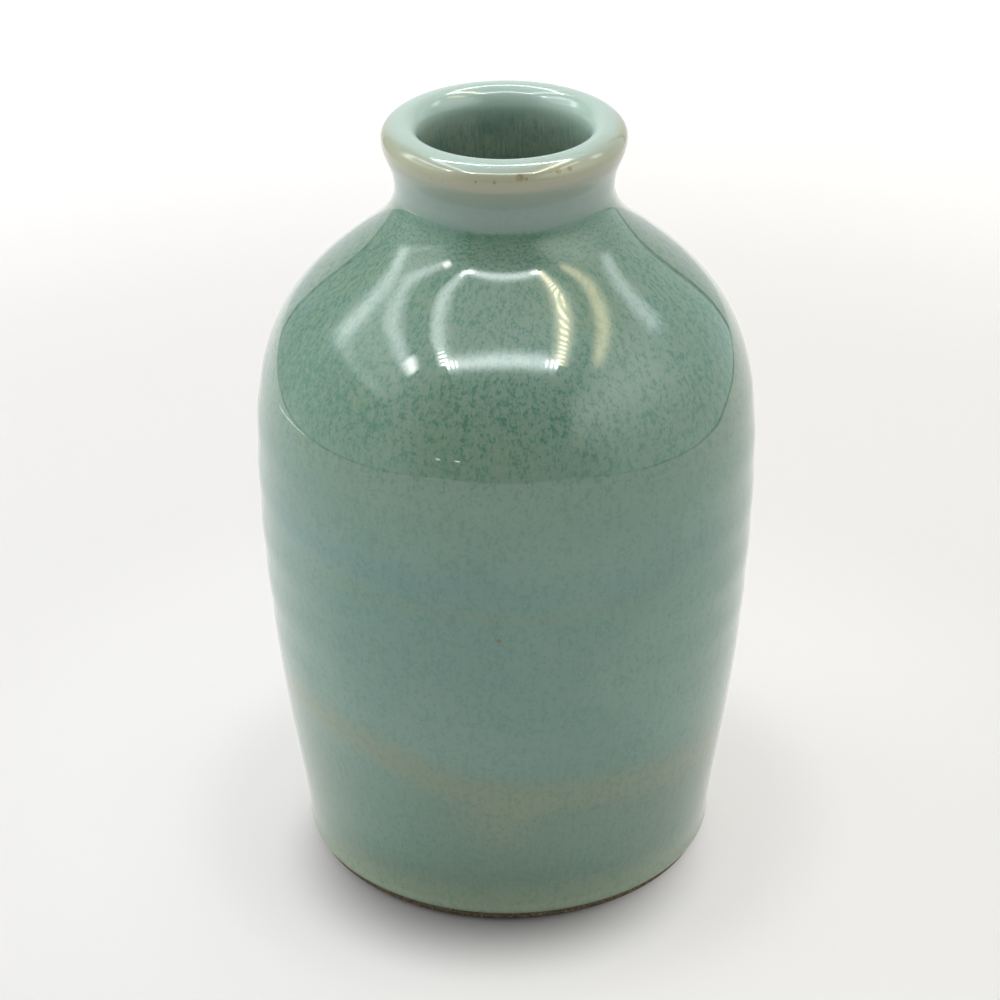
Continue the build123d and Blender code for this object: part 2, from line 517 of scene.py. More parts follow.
def mark_glaze(piece, marks):
    """Keeps where the glaze thinned over its dip line and pooled, and a painted reflection on the
    ridges.
    """
    _radius, angle, height, _points = places_of(piece)
    degrees = (np.degrees(angle) + 270) % 360 - 180
    above_dip = height - wandering(degrees, DIP_LINE)
    drip = bell(degrees - DRIP[0], 10.0) * bell(height - DRIP[1] * MM, 6.0 * MM)
    turn = np.radians(degrees) - math.pi / 2 - marks.start
    crease = marks.pitch * (CREASE_TURNS - turn / (2 * math.pi))
    in_crease = bell(height - crease, 1.5 * MM) * bell(degrees + 8, 70.0)
    band = (0.68 + 0.2 * bell(degrees + 50, 35.0)) * bell(above_dip, 4.2 * MM)
    thin = np.clip(band + 0.6 * drip + 0.42 * in_crease, 0.0, 1.0)
    pools = sum(depth * bell(degrees - middle, width) for middle, width, depth in WALL_POOLS)
    below_dip = np.clip((-above_dip - 2 * MM) / (4 * MM), 0.0, 1.0)
    above_hem = np.clip((height - 7 * MM) / (5 * MM), 0.0, 1.0)
    on_shoulder = sum(bell(degrees - middle, 24.0) for middle in SHOULDER_POOLS)
    on_shoulder *= 1.2 * bell(height - SHOULDER_POOL_HEIGHT * MM, 9 * MM)
    pooled = below_dip * above_hem * np.clip(pools, 0.0, 1.0) + on_shoulder
    # Painted reflection along the crests of the throwing spiral, stronger towards the left.
    on_crest = bell(height - crease - marks.pitch / 2, 2.4 * MM) * bell(degrees + 20, 95.0)
    ridge_reflection = on_crest * (0.5 + 0.5 * bell(degrees + 75, 50.0))
    ridge_reflection += 0.6 * np.clip(ridge_at(marks, angle, height), 0.0, 1.0) * bell(degrees + 95, 40.0)
    keep_on(piece, LINES, thin, np.clip(ridge_reflection, 0.0, 1.0), pooled)


def finish_piece(piece, node, material):
    """Smooths the piece, gives it its finish and sets it in the frame."""
    lay_tools_down()
    piece.select_set(True)
    bpy.context.view_layer.objects.active = piece
    bpy.ops.object.shade_smooth_by_angle(angle=SHARP_CORNER, keep_sharp_edges=True)
    piece.data.materials.clear()
    piece.data.materials.append(material)
    closed_piece(piece)
    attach(piece, "root")
    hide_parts(node)
    lay_tools_down()


# ---- finishes --------------------------------------------------------------------------

class Finish:
    """A material under construction, with short names for the nodes that it needs."""

    def __init__(self, name):
        self.material = bpy.data.materials.new(name)
        self.material.use_nodes = True
        self.tree = self.material.node_tree
        self.shader = self.tree.nodes["Principled BSDF"]

    def node(self, kind, settings=None, inputs=None):
        """A new node with its settings and inputs; an input may be a socket or a value."""
        made = self.tree.nodes.new(kind)
        for key, value in (settings or {}).items():
            setattr(made, key, value)
        for key, value in (inputs or {}).items():
            if isinstance(value, bpy.types.NodeSocket):
                self.tree.links.new(value, made.inputs[key])
            else:
                made.inputs[key].default_value = value
        return made

    def reckon(self, kind, first, second=0.0, clamp=False):
        """Arithmetic on one or two numbers."""
        return self.node(
            "ShaderNodeMath", {"operation": kind, "use_clamp": clamp}, {0: first, 1: second}
        ).outputs[0]

    def times(self, first, second, clamp=False):
        """Two numbers multiplied."""
        return self.reckon("MULTIPLY", first, second, clamp)

    def plus(self, first, second):
        """Two numbers added."""
        return self.reckon("ADD", first, second)

    def scaled(self, value, times, plus):
        """A number multiplied, then added to."""
        return self.node(
            "ShaderNodeMath", {"operation": "MULTIPLY_ADD"}, {0: value, 1: times, 2: plus}
        ).outputs[0]

    def ease(self, value, low, high, to_low=0.0, to_high=1.0):
        """Eases from one number to another as the value goes from low to high."""
        return self.node(
            "ShaderNodeMapRange", {"interpolation_type": "SMOOTHSTEP"},
            {"Value": value, "From Min": low, "From Max": high, "To Min": to_low,
             "To Max": to_high},
        ).outputs["Result"]

    def noise(self, where, scale, detail=2.0, rough=0.5, warp=0.0):
        """Cloudy noise between 0 and 1."""
        return self.node(
            "ShaderNodeTexNoise", {},
            {"Vector": where, "Scale": scale, "Detail": detail, "Roughness": rough,
             "Distortion": warp},
        ).outputs["Fac"]

    def blend(self, share, under, over):
        """Lays one colour over another by a share."""
        mix = self.node("ShaderNodeMix", {"data_type": "RGBA"})
        for key, value in ((0, share), (6, under), (7, over)):
            if isinstance(value, bpy.types.NodeSocket):
                self.tree.links.new(value, mix.inputs[key])
            elif key == 0:
                mix.inputs[key].default_value = value
            else:
                mix.inputs[key].default_value = (*value, 1.0)
        return mix.outputs[2]

    def place(self, shift=(0.0, 0.0, 0.0)):
        """Object coordinates, shifted."""
        where = self.node("ShaderNodeTexCoord").outputs["Object"]
        return self.node(
            "ShaderNodeMapping", {}, {"Vector": where, "Location": shift}
        ).outputs["Vector"]

    def finish(self, **sockets):
        """Sets or links the shader's sockets."""
        for key, value in sockets.items():
            socket = self.shader.inputs[key.replace("_", " ")]
            if isinstance(value, bpy.types.NodeSocket):
                self.tree.links.new(value, socket)
            else:
                socket.default_value = value
        return self.material


class Celadon(Finish):
    """A celadon finish, with the clouds, flecks and streaks that all of its coats have."""

    def __init__(self, name, cloud_scale):
        super().__init__(name)
        self.here = self.place()
        self.height = self.node("ShaderNodeSeparateXYZ", {}, {0: self.here}).outputs["Z"]
        self.clouds = self.noise(self.here, cloud_scale, 3.0, 0.55, 0.4)
        run = self.node("ShaderNodeAttribute", {"attribute_name": RUN}).outputs["Vector"]
        drawn = self.drawn_down(run, 0.75)
        coarse = self.noise(drawn, 1050.0, 2.0, 0.6)
        fine = self.noise(drawn, 2600.0, 1.0, 0.5)
        self.flecks = self.plus(self.times(coarse, 0.62), self.times(fine, 0.38))
        self.streaks = self.noise(self.drawn_down(run, 0.13), 1500.0, 3.0, 0.55)

    def drawn_down(self, run, share):
        """The run of the glaze, with its pattern drawn out down the wall."""
        return self.node(
            "ShaderNodeMapping", {}, {"Vector": run, "Scale": (1.0, 1.0, share)}
        ).outputs["Vector"]

    def zone(self, heights, low=0.0, high=1.0, level=None):
        """Eases from low to high between two heights in millimetres."""
        start, full = heights
        level = self.height if level is None else level
        return self.ease(level, start * MM, full * MM, low, high)

    def glassy(self, colours, colour):
        """Lays the clear, faintly rippled skin over the colour."""
        peel = self.noise(self.here, 220.0, 2.0, 0.5)
        bump = self.node(
            "ShaderNodeBump", {}, {"Height": peel, "Strength": 0.03, "Distance": 0.4 * MM}
        ).outputs["Normal"]
        return self.finish(
            Base_Color=colour, Roughness=colours.gloss, IOR=1.5, Specular_IOR_Level=0.1,
            Normal=bump, Coat_Weight=1.0, Coat_Roughness=colours.skin, Coat_IOR=1.5,
            Coat_Normal=bump,
        )


def glazed_wall(glaze, colours, patches):
    """The wall's colour: clouded, with a painted reflection on the ridges, pooled and broken at the
    dip line.
    """
    lines = glaze.node("ShaderNodeAttribute", {"attribute_name": LINES}).outputs["Vector"]
    thin, ridge_reflection, pooled = glaze.node("ShaderNodeSeparateXYZ", {}, {0: lines}).outputs
    cloudy = glaze.ease(glaze.clouds, 0.42, 0.62, 0.0, 0.7)
    colour = glaze.blend(cloudy, colours.body, colours.teal)
    clear_of_clouds = glaze.ease(glaze.clouds, 0.66, 0.5, 0.35, 1.0)
    olive = glaze.times(glaze.zone(OLIVE_SHOULDER, 0.0, 0.9), clear_of_clouds)
    colour = glaze.blend(olive, colour, colours.moss)
    colour = glaze.blend(glaze.zone(LOW_WALL, 0.0, 0.8), colour, colours.low)
    # Painted reflection on the ridge crests.
    colour = glaze.blend(glaze.times(ridge_reflection, 0.7), colour, colours.ridge_reflection)
    pool = glaze.blend(glaze.zone(DEEPER_POOLS), colours.teal, colours.deep)
    colour = glaze.blend(glaze.times(pooled, 0.45), colour, pool)
    broken = glaze.plus(
        glaze.scaled(patches, 0.9, -0.45), glaze.scaled(glaze.flecks, 1.3, -0.65)
    )
    ragged = glaze.times(thin, glaze.scaled(broken, 1.0, 1.0))
    colour = glaze.blend(glaze.ease(ragged, 0.04, 1.0, 0.0, 0.85), colour, colours.thin)
    return glaze.blend(glaze.zone(FOOT_HEM, 0.0, 0.8), colour, colours.hem)


def flecked(glaze, colours, colour):
    """Lays ash and deep flecks over the colour, dense on the shoulder and sparse on the wall."""
    share = glaze.zone(DENSE_FLECKS, 0.3, 1.0)
    gathered = glaze.scaled(glaze.noise(glaze.here, 190.0, 2.0, 0.6), 0.16, -0.08)
    flecks = glaze.plus(glaze.flecks, gathered)
    ash = glaze.times(glaze.ease(flecks, 0.48, 0.68, 0.0, 0.65), share)
    colour = glaze.blend(ash, colour, colours.ash)
    deep = glaze.times(glaze.ease(flecks, 0.53, 0.36, 0.0, 0.9), share)
    colour = glaze.blend(deep, colour, colours.deep)
    colour = glaze.blend(glaze.ease(glaze.streaks, 0.52, 0.68, 0.0, 0.1), colour, colours.ash)
    return glaze.blend(glaze.ease(glaze.streaks, 0.48, 0.34, 0.0, 0.1), colour, colours.deep)


def neck_and_lip(glaze, colours, colour, patches):
    """Lays the smooth neck with painted shade at its root and painted light under the lip, the tan
    edge of the lip and its pale top, partly painted light, over the colour.
    """
    waver = glaze.scaled(glaze.noise(glaze.here, 120.0, 3.0), 1.2 * MM, -0.6 * MM)
    level = glaze.plus(glaze.height, waver)
    colour = glaze.blend(glaze.zone(NECK, 0.0, 0.85), colour, colours.neck)
    # Painted shade: a darker band at the neck's root.
    root = glaze.times(glaze.zone(NECK_ROOT_SHADE), glaze.zone(ABOVE_NECK_ROOT, 0.0, 0.4))
    colour = glaze.blend(root, colour, colours.deep)
    # Painted light under the lip, then the lighter line of the lip's roll.
    colour = glaze.blend(glaze.zone(UNDER_LIP_LIGHT, 0.0, 0.45, level), colour, colours.roll)
    colour = glaze.blend(glaze.zone(LIP_ROLL, 0.0, 0.9, level), colour, colours.roll)
    worn = glaze.scaled(patches, 0.9, 0.4)
    edge = glaze.times(glaze.zone(LIP_EDGE, level=level), worn, clamp=True)
    colour = glaze.blend(edge, colour, colours.breaking)
    # The lip's pale top: partly the glaze, partly painted light where the lip faces up.
    colour = glaze.blend(glaze.zone(LIP_TOP, level=level), colour, colours.pale_rim_and_top_light)
    on_edge = glaze.times(
        glaze.zone(RUSTY_FROM, level=level), glaze.zone(RUSTY_UP_TO, level=level)
    )
    rust = glaze.times(glaze.ease(glaze.flecks, 0.62, 0.72, 0.0, 0.45), on_edge)
    return glaze.blend(rust, colour, colours.iron)


def iron_specks(glaze, shape):
    """The larger iron specks, each at its own place round the wheel, height and size."""
    wall = outside_line(shape, 0.0, 1.0)
    found = 0.0
    for degrees, height, size in IRON_SPECKS:
        radius = np.interp(height * MM, wall[:, 1], wall[:, 0])
        turn = math.radians(degrees)
        place = (radius * math.sin(turn), -radius * math.cos(turn), height * MM)
        away = glaze.node(
            "ShaderNodeVectorMath", {"operation": "DISTANCE"}, {0: glaze.here, 1: place}
        ).outputs["Value"]
        found = glaze.plus(found, glaze.ease(away, size * 1.5 * MM, size * 0.5 * MM))
    ragged = glaze.scaled(glaze.noise(glaze.here, 1500.0, 1.0), 1.6, -0.1)
    return glaze.times(found, ragged, clamp=True)


def celadon_outside(name, colours, shape):
    """Celadon that is flecked and olive on the shoulder, calm below and tan on the lip's edge."""
    glaze = Celadon(name, 34.0)
    patches = glaze.noise(glaze.here, 130.0, 3.0, 0.6)
    colour = glazed_wall(glaze, colours, patches)
    colour = flecked(glaze, colours, colour)
    colour = neck_and_lip(glaze, colours, colour, patches)
    iron = glaze.times(iron_specks(glaze, shape), 0.8)
    return glaze.glassy(colours, glaze.blend(iron, colour, colours.iron))


def celadon_inside(name, colours):
    """Celadon that runs down the inside in streaks, pale and smooth where it meets the lip, the
    paleness partly painted light.
    """
    glaze = Celadon(name, 60.0)
    cloudy = glaze.ease(glaze.clouds, 0.42, 0.6, 0.0, 0.8)
    colour = glaze.blend(cloudy, colours.throat, colours.teal)
    colour = glaze.blend(glaze.ease(glaze.streaks, 0.5, 0.62, 0.0, 0.45), colour, colours.ash)
    colour = glaze.blend(glaze.ease(glaze.streaks, 0.5, 0.38, 0.0, 0.35), colour, colours.deep)
    colour = glaze.blend(glaze.ease(glaze.flecks, 0.48, 0.38, 0.0, 0.3), colour, colours.deep)
    # Paler towards the mouth: partly the glaze, partly painted light.
    return glaze.glassy(colours, glaze.blend(glaze.zone(LINING_TOP), colour, colours.pale_rim_and_top_light))


def bare_stoneware(name, colours):
    """Fired clay with fine grog, mixed with darker clay in grain-sized patches."""
    clay = Finish(name)
    here = clay.place()
    grain = clay.noise(here, 1600.0, 4.0, 0.6)
    colour = clay.blend(clay.ease(grain, 0.35, 0.65), colours.dark_clay, colours.clay)
    grog = clay.noise(here, 2600.0, 1.0, 0.5)
    colour = clay.blend(clay.ease(grog, 0.66, 0.74), colour, colours.grog)
    bump = clay.node(
        "ShaderNodeBump", {}, {"Height": grain, "Strength": 0.5, "Distance": 0.2 * MM}
    ).outputs["Normal"]
    return clay.finish(
        Base_Color=colour, Roughness=clay.ease(grain, 0.3, 0.7, 0.7, 0.9), Normal=bump
    )


# ---- pieces ----------------------------------------------------------------------------

class SAKE_OT_throw_body(bpy.types.Operator):
    """Throws the clay body and trims its foot ring"""

    bl_idname = "sake.throw_body"
    bl_label = "Throw the body"

    def execute(self, context):
        shape, foot = context.scene.bottle_shape, context.scene.foot_shape
        ring_in = foot.radius - foot.ring_width
        ceiling = foot.recess + shape.coat
        turn = ceiling - foot.recess_round
        round_at = ring_in - foot.recess_round
        underside = joined(
            straight((ON_AXIS, ceiling), (round_at, ceiling), 12),
            arc((round_at, turn), foot.recess_round, foot.recess_round, 90, 0, 10),
            straight((ring_in, turn), (ring_in, foot.soften), 3),
            arc((ring_in + foot.soften, foot.soften), foot.soften, foot.soften, 180, 270, 7),
            straight((ring_in + foot.soften, 0.0), (foot.radius - foot.soften, 0.0), 12),
            arc((foot.radius - foot.soften, foot.soften), foot.soften, foot.soften, 270, 360, 7),
            straight((foot.radius, foot.soften), (foot.top_radius, foot.glaze_line), 5),
        )
        outside = outside_line(shape, shape.coat, 0.5)
        inside = inside_line(shape, shape.coat, 0.5)
        outline = joined(underside, outside, inside[::-1])
        body = turn_on_wheel("thrown_stoneware", outline, shape.around)
        press_fingers(body, context.scene.throwing_marks)
        clay = bare_stoneware("fired_stoneware", context.scene.clay_colours)
        finish_piece(body, "stoneware_body", clay)
        return {"FINISHED"}


class SAKE_OT_coat_outside(bpy.types.Operator):
    """Pours the outside coat, from its wiped edge above the foot to the crest of the lip"""

    bl_idname = "sake.coat_outside"
    bl_label = "Glaze the outside"

    def execute(self, context):
        shape, foot = context.scene.bottle_shape, context.scene.foot_shape
        wiped = (foot.top_radius, foot.glaze_line)
        wiped_out = (foot.top_radius + foot.glaze_edge, foot.glaze_line)
        heel = (shape.heel_radius, shape.heel_height)
        roll = smooth_line([wiped_out, heel], LEVEL, (0.1, 1.0), 12)
        surface = outside_line(shape, 0.0, 0.98)
        clay_side = outside_line(shape, shape.coat, 0.5)
        outline = joined(
            straight(wiped, wiped_out, 3), roll, surface, clay_side[::-1],
            straight(clay_side[0], wiped, 2),
        )
        coat = turn_on_wheel("celadon_outside_coat", outline, shape.around)
        let_glaze_run(coat, surface)
        mark_glaze(coat, context.scene.throwing_marks)
        press_fingers(coat, context.scene.throwing_marks)
        glaze = celadon_outside("celadon_outside", context.scene.glaze_colours, shape)
        finish_piece(coat, "outer_glaze", glaze)
        return {"FINISHED"}


class SAKE_OT_coat_inside(bpy.types.Operator):
    """Pours the lining, from the crest of the lip down the throat and over the floor"""

    bl_idname = "sake.coat_inside"
    bl_label = "Glaze the inside"

    def execute(self, context):
        shape = context.scene.bottle_shape
        surface = inside_line(shape, 0.0, 0.9)
        clay_side = inside_line(shape, shape.coat, 0.5)
        outline = joined(surface, clay_side[::-1])
        lining = turn_on_wheel("celadon_lining_coat", outline, shape.around)
        let_glaze_run(lining, surface)
        press_fingers(lining, context.scene.throwing_marks)
        glaze = celadon_inside("celadon_lining", context.scene.glaze_colours)
        finish_piece(lining, "lining_glaze", glaze)
        return {"FINISHED"}


class SAKE_OT_coat_underside(bpy.types.Operator):
    """Glazes the underside, inside the foot ring"""

    bl_idname = "sake.coat_underside"
    bl_label = "Glaze the underside"

    def execute(self, context):
        shape, foot = context.scene.bottle_shape, context.scene.foot_shape
        ring_in = foot.radius - foot.ring_width
        turn = foot.recess + shape.coat - foot.recess_round
        round_at = ring_in - foot.recess_round
        skin = foot.recess_round - shape.coat
        outline = joined(
            straight((ON_AXIS, foot.recess), (round_at, foot.recess), 40),
            arc((round_at, turn), skin, skin, 90, 0, 12),
            straight((ring_in - shape.coat, turn), (ring_in, turn), 4),
            arc((round_at, turn), foot.recess_round, foot.recess_round, 0, 90, 10),
            straight((round_at, foot.recess + shape.coat), (ON_AXIS, foot.recess + shape.coat), 12),
        )
        coat = turn_on_wheel("celadon_underside_coat", outline, shape.around)
        let_glaze_run(coat, outline[:2])
        glaze = celadon_inside("celadon_underside", context.scene.glaze_colours)
        finish_piece(coat, "foot_recess_glaze", glaze)
        return {"FINISHED"}


# ---- studio ------------------------------------------------------------------------

def flat_sheet(name, low, high, finish):
    """A flat rectangle of paper or cloth between two corners, along any two of the axes."""
    lay_tools_down()
    middle = [(a + b) / 2 for a, b in zip(low, high)]
    bpy.ops.mesh.primitive_plane_add(size=1.0, location=middle)
    sheet = bpy.context.object
    sheet.name = name
    spans = [b - a for a, b in zip(low, high)]
    if spans[2] == 0:
        sheet.scale = (spans[0], spans[1], 1.0)
    elif spans[1] == 0:
        sheet.rotation_euler = (math.pi / 2, 0.0, 0.0)
        sheet.scale = (spans[0], spans[2], 1.0)
    else:
        sheet.rotation_euler = (0.0, math.pi / 2, 0.0)
        sheet.scale = (spans[2], spans[1], 1.0)
    bpy.ops.object.transform_apply(location=True, rotation=True, scale=True)
    sheet.data.materials.append(finish)
    return sheet


def pale_floor(studio):
    """The tent's floor, glowing with painted light and a painted shadow, and the same paper carried
    on for the views that see past the tent.
    """
    paper = Finish("glowing_paper_painted_shadow")
    here = paper.place()
    shade = paper.place(shift=(2.5 * MM, 13.9 * MM, 0.0))
    near = paper.node("ShaderNodeVectorMath", {"operation": "LENGTH"}, {0: shade}).outputs["Value"]
    far = paper.node("ShaderNodeVectorMath", {"operation": "LENGTH"}, {0: here}).outputs["Value"]
    # Painted shadow: the floor's glow is taken away round the foot, centred a little in front of it
    # and to its left.
    lit = paper.ease(near, 19.3 * MM, 39.2 * MM, 0.0, 0.52)
    # Painted light and shade further out: a brighter ring, a darker one, then a glow rising towards
    # white at the edges.
    for start, end, change in ((45, 62, 0.065), (66, 130, -0.058), (190, 380, 0.22)):
        lit = paper.plus(lit, paper.ease(far, start * MM, end * MM, 0.0, change))
    # Painted light: the glow is tinted warm on the right and cool on the left.
    across = paper.node("ShaderNodeSeparateXYZ", {}, {0: here}).outputs["X"]
    cool, warm = (1.0, 0.987, 0.985), (1.0, 0.982, 0.95)
    tint = paper.blend(paper.ease(across, -60 * MM, 60 * MM), cool, warm)
    # The floor glows: painted light from its emission, over a dim base colour.
    white = paper.finish(
        Base_Color=(0.22, 0.215, 0.21, 1.0), Roughness=0.7, Specular_IOR_Level=0.2,
        Emission_Color=tint, Emission_Strength=lit,
    )
    flat_sheet(
        "tent_floor", (-studio.tent_left, -studio.tent_front, 0.0),
        (studio.tent_right, studio.tent_back, 0.0), white,
    )
    wide = flat_sheet("wide_floor", (-4.0, -4.0, -0.0005), (4.0, 4.0, -0.0005), white)
    wide.visible_glossy = False


def glow(name, tint, strength):
    """Plain lit cloth."""
    cloth = Finish(name)
    return cloth.finish(
        Base_Color=(0.0, 0.0, 0.0, 1.0), Specular_IOR_Level=0.0,
        Emission_Color=(*tint, 1.0), Emission_Strength=strength,
    )


def fading_cloth(name, tint, strength, at_back=1.0):
    """Cloth that is lit inside the tent, darker towards its open front and its back corner."""
    cloth = Finish(name)
    depth = cloth.node("ShaderNodeSeparateXYZ", {}, {0: cloth.place()}).outputs["Y"]
    inside = cloth.ease(depth, -0.62, -0.25, 0.25, 1.0)
    lit = cloth.times(inside, cloth.ease(depth, 0.1, 0.3, 1.0, at_back))
    return cloth.finish(
        Base_Color=(0.0, 0.0, 0.0, 1.0), Specular_IOR_Level=0.0, Emission_Color=(*tint, 1.0),
        Emission_Strength=cloth.times(lit, strength),
    )


def across_and_along(cloth):
    """How far along a strip, from 0 to 1, and how near its middle line, from 0 to 1."""
    where = cloth.node("ShaderNodeTexCoord").outputs["UV"]
    parts = cloth.node("ShaderNodeSeparateXYZ", {}, {0: where}).outputs
    aside = cloth.reckon("ABSOLUTE", cloth.scaled(parts["Y"], 2.0, -1.0))
    return parts["X"], cloth.reckon("SUBTRACT", 1.0, aside)


def added_light(cloth, tint, lit):
    """Light that is added to that of whatever is behind the cloth."""
    clear = cloth.node("ShaderNodeBsdfTransparent").outputs[0]
    shine = cloth.node(
        "ShaderNodeEmission", {}, {"Color": (*tint, 1.0), "Strength": lit}
    ).outputs[0]
    both = cloth.node("ShaderNodeAddShader", {}, {0: clear, 1: shine}).outputs[0]
    cloth.tree.links.new(both, cloth.tree.nodes["Material Output"].inputs["Surface"])
    return cloth.material


def soft_strip(name, tint, strength):
    """Cloth lit softly along its middle, fading to its edges and ends."""
    cloth = Finish(name)
    along, near = across_and_along(cloth)
    ends = cloth.times(cloth.ease(along, 0.0, 0.3), cloth.ease(along, 1.0, 0.7))
    soft = cloth.times(ends, cloth.ease(near, 0.0, 1.0))
    return added_light(cloth, tint, cloth.times(soft, strength))


def lamp_row(name, tint, beads, bright, spread, reach=1.0):
    """Small lamps on a softly lit board, brightest at its start and gone beyond their reach."""
    board = Finish(name)
    along, near = across_and_along(board)
    step = board.reckon("FRACT", board.times(along, beads))
    beside = board.reckon("ABSOLUTE", board.reckon("SUBTRACT", step, 0.5))
    bead = board.times(board.ease(beside, 0.36, 0.1), board.ease(near, 0.6, 0.9))
    shown = board.times(bead, board.ease(along, reach, reach / 2, 0.0, bright))
    halo = board.times(board.ease(near, 0.0, 1.0), board.ease(near, -0.6, 1.0))
    return added_light(board, tint, board.plus(shown, board.times(halo, spread)))


def only_mirrored(sheet):
    """The sheet shows in the glaze's gloss and nowhere else."""
    sheet.visible_camera = False
    sheet.visible_diffuse = False
    sheet.visible_shadow = False
    sheet.visible_transmission = False


def tent_cloth(studio):
    """The tent's lit walls and roof, with dark strips along their edges and the floor's for painted
    shadow gaps.
    """
    left, right = -studio.tent_left, studio.tent_right
    front, back = -studio.tent_front, studio.tent_back
    roof = studio.tent_roof
    walls_front, roof_front = -650 * MM, -1050 * MM
    behind, shadow_gap, lift = 20 * MM, 16 * MM, MM
    wall_tint = (0.80, 0.98, 1.0)
    lit = glow("lit_cloth", (0.95, 0.97, 1.0), 0.85)
    # Painted shadow: dark strips stand for the shadow gaps between the tent's cloth and its walls.
    dark = glow("dark_shadow_gap", (0.0, 0.0, 0.0), 0.0)
    left_cloth = fading_cloth("left_cloth", wall_tint, 1.1, 0.5)
    right_cloth = fading_cloth("right_cloth", wall_tint, 1.1)
    lit_roof = fading_cloth("lit_roof", (0.84, 1.0, 0.98), 1.6)
    sheets = (
        ("back_wall", (left, back, 0.0), (right, back, roof), lit),
        ("left_wall", (left - behind, walls_front, 0.0), (left - behind, back, roof + 0.1),
         left_cloth),
        ("right_wall", (right + behind, walls_front, 0.0), (right + behind, back, roof + 0.1),
         right_cloth),
        ("roof", (left - behind, roof_front, roof + behind), (right + behind, back, roof + behind),
         lit_roof),
        ("shadow_gap_left", (left, front, lift), (left + shadow_gap, back, lift), dark),
        ("shadow_gap_right", (right - shadow_gap, front, lift), (right, back, lift), dark),
        ("shadow_gap_front", (left, front, lift), (right, front + shadow_gap, lift), dark),
        ("shadow_gap_back_left", (left, back - lift, 0.0), (left + shadow_gap, back - lift, roof), dark),
        ("shadow_gap_back_right", (right - shadow_gap, back - lift, 0.0), (right, back - lift, roof), dark),
    )
    for name, low, high, finish in sheets:
        only_mirrored(flat_sheet(name, low, high, finish))


def set_camera(studio):
    """The camera, aimed, turned and rolled."""
    data = bpy.data.cameras.new("camera")
    camera = bpy.data.objects.new("camera", data)
    bpy.context.scene.collection.objects.link(camera)
    data.lens = studio.lens
    data.sensor_width = 36.0
    data.clip_start = 0.01
    ahead = Vector((0.0, math.cos(studio.tilt), -math.sin(studio.tilt)))
    right = Vector((1.0, 0.0, 0.0))
    over = Vector((0.0, math.sin(studio.tilt), math.cos(studio.tilt)))
    aim = ahead * math.cos(studio.turn) + right * math.sin(studio.turn)
    side = right * math.cos(studio.turn) - ahead * math.sin(studio.turn)
    rolled_side = side * math.cos(studio.roll) + over * math.sin(studio.roll)
    rolled_over = over * math.cos(studio.roll) - side * math.sin(studio.roll)
    turned = Matrix((rolled_side, rolled_over, -aim)).transposed().to_4x4()
    camera.matrix_world = Matrix.Translation((0.0, -studio.back, studio.up)) @ turned
    bpy.context.scene.camera = camera


def lamp(name, size, power, tint, place, aim):
    """A rectangular lamp that lights the bottle and isn't mirrored in it."""
    data = bpy.data.lights.new(name, "AREA")
    data.shape = "RECTANGLE"
    data.size, data.size_y = size
    data.energy = power
    data.color = tint
    light = bpy.data.objects.new(name, data)
    bpy.context.scene.collection.objects.link(light)
    light.location = place
    light.rotation_euler = (Vector(aim) - Vector(place)).to_track_quat("-Z", "Y").to_euler()
    light.visible_camera = False
    light.visible_glossy = False


def mirrored_strip(name, start, end, width, facing, finish):
    """A strip from one place to another, facing into the tent, that shows only in the gloss."""
    lay_tools_down()
    bpy.ops.mesh.primitive_plane_add(size=1.0)
    strip = bpy.context.object
    strip.name = name
    run = Vector(end) - Vector(start)
    along, inward = run.normalized(), Vector(facing)
    turned = Matrix((along, inward.cross(along), inward)).transposed().to_4x4()
    stretched = Matrix.Diagonal((run.length, width, 1.0, 1.0))
    strip.matrix_world = Matrix.Translation((Vector(start) + Vector(end)) / 2) @ turned @ stretched
    strip.data.materials.append(finish)
    only_mirrored(strip)


def led_frame(studio):
    """The frame of small lamps under the tent's roof: front, back and two sides."""
    roof = studio.tent_roof
    left, right, front, back = -0.36, 0.31, -0.385, 0.30
    middle = (left + right) / 2
    white, warm = (0.92, 0.98, 1.0), (1.0, 0.90, 0.62)
    soft = lamp_row("soft_row", white, 11, 34.0, 11.0, 0.3)
    side = lamp_row("side_row", white, 22, 34.0, 7.0, 0.22)
    gold = lamp_row("warm_row", warm, 26, 17.0, 10.0, 1.4)
    rear = lamp_row("rear_row", white, 24, 60.0, 9.0, 3.0)
    rows = (
        ("led_front_left", (left, front), (middle, front), 0.22, soft),
        ("led_front_right", (right, front), (middle, front), 0.22, soft),
        ("led_left", (left, front), (left, back), 0.18, side),
        ("led_right", (right, front), (right, back), 0.17, gold),
        ("led_back", (left, back), (right, back), 0.15, rear),
    )
    for step, (name, start, end, width, finish) in enumerate(rows):
        height = roof - step * MM
        mirrored_strip(name, (*start, height), (*end, height), width, (0.0, 0.0, -1.0), finish)


